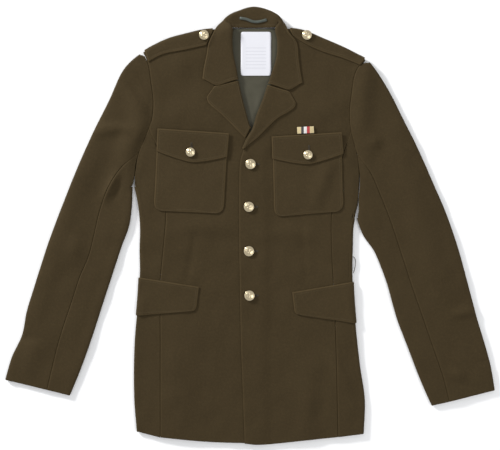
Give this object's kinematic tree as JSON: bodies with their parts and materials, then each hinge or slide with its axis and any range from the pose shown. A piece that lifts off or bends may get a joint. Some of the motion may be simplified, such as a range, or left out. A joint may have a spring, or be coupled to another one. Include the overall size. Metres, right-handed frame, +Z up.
{
  "type": "uniform jacket",
  "caption": "Single-breasted dress uniform jacket laid flat, with notched lapels, flap pockets, shoulder straps and domed brass buttons.",
  "frame": {"origin": "middle of the garment's outline, on the surface it lies on", "axes": "+X to the right as seen from above, +Y toward the collar, +Z up from the surface"},
  "size_m": [0.908, 0.8116, 0.0174],
  "materials": {
    "uniform_cloth": "matte wool twill",
    "lining_satin": "soft satin",
    "loop_satin": "satin",
    "label_cloth": "matte woven",
    "ribbon_silk": "ribbed silk",
    "button_brass": "polished, lightly worn",
    "loop_thread": "matte thread"
  },
  "bodies": {
    "root": {"back_left": "uniform_cloth", "back_right": "uniform_cloth", "side_body_left": "uniform_cloth", "side_body_right": "uniform_cloth", "front_left": "uniform_cloth", "front_right": "uniform_cloth", "sleeve_top_left": "uniform_cloth", "sleeve_top_right": "uniform_cloth", "sleeve_under_left": "uniform_cloth", "sleeve_under_right": "uniform_cloth", "lapel_left": "uniform_cloth", "lapel_right": "uniform_cloth", "collar": "uniform_cloth", "breast_pocket_left": "uniform_cloth", "breast_pocket_right": "uniform_cloth", "breast_flap_left": "uniform_cloth", "breast_flap_right": "uniform_cloth", "lower_flap_left": "uniform_cloth", "lower_flap_right": "uniform_cloth", "shoulder_strap_left": "uniform_cloth", "shoulder_strap_right": "uniform_cloth", "lining": "lining_satin", "hanger_loop": "loop_satin", "size_label": "label_cloth", "medal_ribbon": "ribbon_silk", "belt_loop": "loop_thread", "front_button_1": "button_brass", "front_button_2": "button_brass", "front_button_3": "button_brass", "front_button_4": "button_brass", "pocket_button_1": "button_brass", "pocket_button_2": "button_brass", "strap_button_1": "button_brass", "strap_button_2": "button_brass"}
  },
  "joints": []
}
